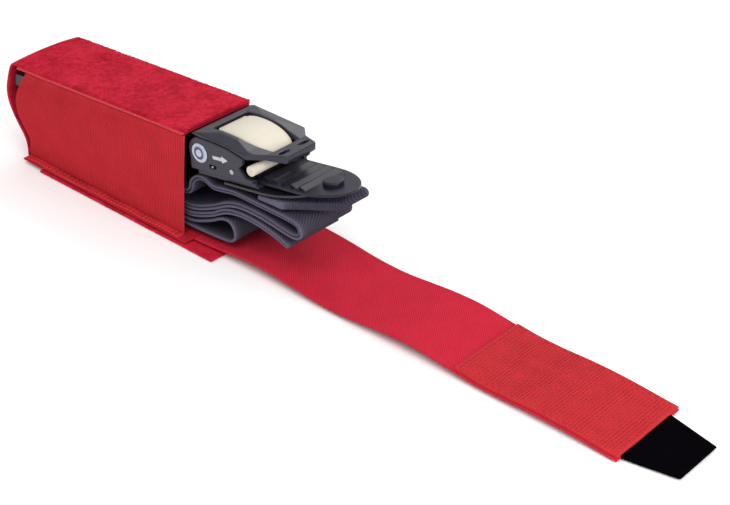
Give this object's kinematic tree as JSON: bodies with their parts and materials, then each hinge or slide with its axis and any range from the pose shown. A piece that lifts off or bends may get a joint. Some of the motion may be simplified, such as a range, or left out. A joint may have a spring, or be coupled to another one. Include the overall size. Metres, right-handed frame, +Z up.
{
  "type": "ratcheting tourniquet in holster",
  "caption": "Ratcheting limb tourniquet with a toothed ladder strap and folded webbing, stowed in a red elastic-sided belt pouch with a hook-ended closing strap.",
  "frame": {"origin": "on the underside of the belt panel, under the middle of the pouch's sleeve", "axes": "+X out of the pouch's mouth along the strap, +Y to the tourniquet's right-hand side wall seen from the mouth's rear, +Z up"},
  "size_m": [0.4361, 0.058, 0.0684],
  "materials": {
    "red_elastic": "ribbed elastic",
    "red_loop": "napped loop",
    "red_webbing": "woven",
    "hook_orange": "stiff hook",
    "tab_black": "flat woven",
    "webbing_charcoal": "twill weave",
    "buckle_black": "satin moulded",
    "ladder_black": "satin moulded",
    "cream": "moulded",
    "steel": "bright",
    "chrome_cap": "polished",
    "print_white": "printed"
  },
  "bodies": {
    "pouch": {"left_wall": "red_elastic", "right_wall": "red_elastic", "top_backing": "red_webbing", "top_loop_panel": "red_loop", "base_panel": "red_webbing", "belt_panel": "red_loop", "belt_seam_front": "red_webbing", "belt_seam_rear": "red_webbing", "rear_strap": "red_webbing", "strap_root": "red_webbing"},
    "riser": {"strap_riser": "red_webbing"},
    "flap": {"strap_flap": "red_webbing", "hook_patch": "hook_orange", "pull_tab": "tab_black"},
    "buckle": {"buckle_base": "buckle_black", "base_tongue": "buckle_black", "base_rivets": "steel", "main_axle": "steel", "axle_caps": "chrome_cap", "ear_rivets": "steel", "axle_springs": "steel", "label_arrow": "print_white", "webbing_top_fold": "webbing_charcoal", "webbing_upper_band": "webbing_charcoal", "webbing_lower_fold": "webbing_charcoal", "webbing_low_loop": "webbing_charcoal", "webbing_inner_stack": "webbing_charcoal", "webbing_rear_loop": "webbing_charcoal", "slide_buckle": "buckle_black"},
    "lever": {"lever_frame": "buckle_black", "pawl_pin": "steel"},
    "drive_pawl_body": {"drive_pawl": "steel"},
    "release": {"release_lever": "cream", "release_rod": "cream"},
    "ladder": {"ladder_strap": "ladder_black", "ladder_button": "ladder_black", "ladder_lead": "webbing_charcoal", "ladder_rivets": "steel"}
  },
  "joints": [
    {"name": "tourniquet_slide", "type": "slide", "parent": "pouch", "child": "buckle", "axis": [0.999, 0, 0.0436], "range_m": [0, 0.15]},
    {"name": "lever_pivot", "type": "hinge", "parent": "buckle", "child": "lever", "pos_m": [0.07425, 0, 0.0552], "axis": [0, -1, 0], "range_deg": [0, 60]},
    {"name": "drive_pawl_pivot", "type": "hinge", "parent": "lever", "child": "drive_pawl_body", "pos_m": [0.07785, 0, 0.0506], "axis": [0, -1, 0], "range_deg": [-7, 8], "stiffness_Nm_per_rad": 0.05},
    {"name": "release_pivot", "type": "hinge", "parent": "buckle", "child": "release", "pos_m": [0.07425, 0, 0.0552], "axis": [0, -1, 0], "range_deg": [-2.5, 3], "stiffness_Nm_per_rad": 0.5},
    {"name": "ladder_slide", "type": "slide", "parent": "buckle", "child": "ladder", "axis": [0.9863, 0, 0.165], "range_m": [0, 0.03]},
    {"name": "strap_fold_1", "type": "hinge", "parent": "pouch", "child": "riser", "pos_m": [0.16325, 0, 0.0034], "axis": [0, 1, 0], "range_deg": [-90, 0]},
    {"name": "strap_fold_2", "type": "hinge", "parent": "riser", "child": "flap", "pos_m": [0.23125, 0, 0.00562], "axis": [0, 1, 0], "range_deg": [-90, 0]}
  ]
}
